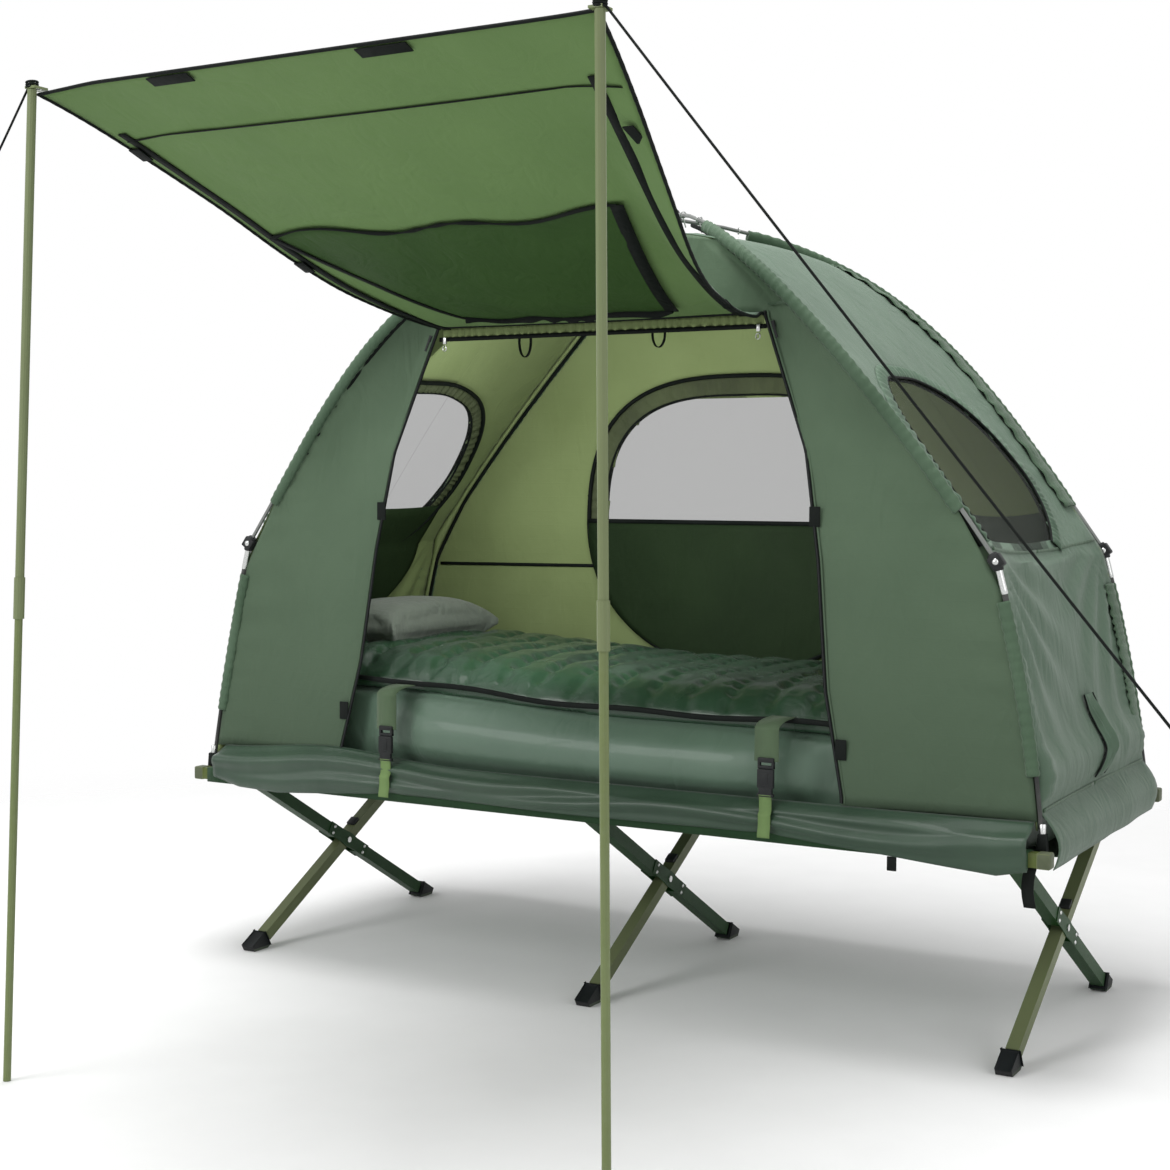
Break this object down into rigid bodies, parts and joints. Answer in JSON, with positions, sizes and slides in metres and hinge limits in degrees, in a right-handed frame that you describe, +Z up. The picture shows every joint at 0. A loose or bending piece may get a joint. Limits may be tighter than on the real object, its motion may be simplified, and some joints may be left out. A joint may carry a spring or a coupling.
{
  "type": "tent cot",
  "caption": "Folding camp bed on crossed legs with a two-arch tent on top, a mattress, a sleeping bag and a pillow, and a door panel held out as an awning on poles with guy ropes",
  "frame": {"origin": "on the ground under the middle of the cot's box, which reaches from the rear skirt to the awning poles", "axes": "X runs along the bed, the door and the awning face -Y, Z is up"},
  "size_m": [2.3827, 1.7326, 1.736],
  "materials": {
    "olive_paint": "satin olive paint",
    "dark_green_paint": "satin dark green paint",
    "black_plastic": "moulded black plastic",
    "bright_steel": "bright steel",
    "grey_pole": "grey pole",
    "dark_pole": "dark pole",
    "wall_cloth": "coated woven cloth",
    "roof_cloth": "coated woven cloth",
    "bed_cloth": "coated woven cloth with a sheen",
    "net": "fine net",
    "awning_cloth": "coated woven cloth",
    "pale_olive_paint": "satin pale olive paint",
    "black_cord": "black cord and webbing",
    "satin": "satin cover",
    "quilt": "shiny quilted cover",
    "pillow_cloth": "matt cotton",
    "olive_webbing": "woven webbing"
  },
  "bodies": {
    "root": {"crossing_pin_left": "bright_steel", "crossing_pin_middle": "bright_steel", "crossing_pin_right": "bright_steel", "left_pole_lower": "pale_olive_paint", "right_pole_lower": "pale_olive_paint"},
    "front_frame": {"front_rail": "olive_paint", "split_leg_left": "dark_green_paint", "split_leg_middle": "dark_green_paint", "split_leg_right": "dark_green_paint", "split_leg_boot_left": "black_plastic", "split_leg_boot_middle": "black_plastic", "split_leg_boot_right": "black_plastic"},
    "rear_frame": {"rear_rail": "olive_paint", "long_leg_left": "olive_paint", "long_leg_middle": "olive_paint", "long_leg_right": "olive_paint", "long_leg_boot_left": "black_plastic", "long_leg_boot_middle": "black_plastic", "long_leg_boot_right": "black_plastic"},
    "canopy": {"top_hub": "black_plastic", "roof_panel": "roof_cloth", "left_window_net": "net", "right_window_net": "net", "bed_sling": "bed_cloth", "mattress": "satin", "sleeping_bag": "quilt", "pillow": "pillow_cloth"},
    "front_arch": {"front_left_lower_pole": "dark_pole", "front_right_lower_pole": "dark_pole", "front_left_upper_pole": "grey_pole", "front_right_upper_pole": "grey_pole", "front_left_elbow": "black_plastic", "front_right_elbow": "black_plastic", "front_left_pocket": "black_cord", "front_right_pocket": "black_cord", "front_wall": "wall_cloth", "front_skirt": "bed_cloth", "left_mattress_strap": "olive_webbing", "right_mattress_strap": "olive_webbing"},
    "rear_arch": {"rear_left_lower_pole": "dark_pole", "rear_right_lower_pole": "dark_pole", "rear_left_upper_pole": "grey_pole", "rear_right_upper_pole": "grey_pole", "rear_left_elbow": "black_plastic", "rear_right_elbow": "black_plastic", "rear_left_pocket": "black_cord", "rear_right_pocket": "black_cord", "rear_wall": "wall_cloth", "rear_window_net": "net", "rear_skirt": "bed_cloth"},
    "awning": {"door_awning": "awning_cloth"},
    "left_pole": {"left_pole_upper": "pale_olive_paint", "left_guy_rope": "black_cord"},
    "right_pole": {"right_pole_upper": "pale_olive_paint", "right_guy_rope": "black_cord"},
    "left_zip": {"left_zip_slider": "black_plastic"},
    "right_zip": {"right_zip_slider": "black_plastic"},
    "left_buckle_release": {"left_buckle": "black_plastic"},
    "right_buckle_release": {"right_buckle": "black_plastic"}
  },
  "joints": [
    {"name": "leg_fold", "type": "hinge", "parent": "root", "child": "front_frame", "pos_m": [0, 0.42628, 0.199], "axis": [-1, 0, 0], "range_deg": [0, 45], "deforming": ["bed_sling", "mattress", "sleeping_bag", "pillow", "roof_panel", "left_window_net", "right_window_net", "front_skirt", "rear_skirt", "left_mattress_strap", "right_mattress_strap", "left_buckle", "right_buckle"]},
    {"name": "rear_leg_fold", "type": "hinge", "parent": "root", "child": "rear_frame", "pos_m": [0, 0.42628, 0.199], "axis": [1, 0, 0], "range_deg": [0, 45]},
    {"name": "canopy_rise", "type": "slide", "parent": "root", "child": "canopy", "axis": [0, 0, 1], "range_m": [0, 0.283]},
    {"name": "front_arch_swing", "type": "hinge", "parent": "canopy", "child": "front_arch", "pos_m": [0, 0.42628, 1.63], "axis": [1, 0, 0], "range_deg": [0, 12.9]},
    {"name": "rear_arch_swing", "type": "hinge", "parent": "canopy", "child": "rear_arch", "pos_m": [0, 0.42628, 1.63], "axis": [-1, 0, 0], "range_deg": [0, 12.9]},
    {"name": "awning_swing", "type": "hinge", "parent": "front_arch", "child": "awning", "pos_m": [0, 0.10428, 1.385], "axis": [1, 0, 0], "range_deg": [0, 96]},
    {"name": "left_pole_lift", "type": "slide", "parent": "root", "child": "left_pole", "axis": [0.0504, 0, 0.9987], "range_m": [0, 0.075]},
    {"name": "right_pole_lift", "type": "slide", "parent": "root", "child": "right_pole", "axis": [-0.0128, 0, 0.9999], "range_m": [0, 0.075]},
    {"name": "left_zip_run", "type": "slide", "parent": "front_arch", "child": "left_zip", "axis": [-0.349, -0.0808, -0.9336], "range_m": [0, 0.18]},
    {"name": "right_zip_run", "type": "slide", "parent": "front_arch", "child": "right_zip", "axis": [0.349, -0.0808, -0.9336], "range_m": [0, 0.18]},
    {"name": "left_buckle_release", "type": "slide", "parent": "front_arch", "child": "left_buckle_release", "axis": [0, -0.3, -0.9539], "range_m": [0, 0.03]},
    {"name": "right_buckle_release", "type": "slide", "parent": "front_arch", "child": "right_buckle_release", "axis": [0, -0.3, -0.9539], "range_m": [0, 0.03]}
  ],
  "couplings": [
    {"joint": "rear_leg_fold", "follows": "leg_fold", "ratio": 1},
    {"joint": "canopy_rise", "follows": "leg_fold", "m_per_rad": 0.36},
    {"joint": "front_arch_swing", "follows": "leg_fold", "ratio": 0.284},
    {"joint": "rear_arch_swing", "follows": "leg_fold", "ratio": 0.284}
  ]
}
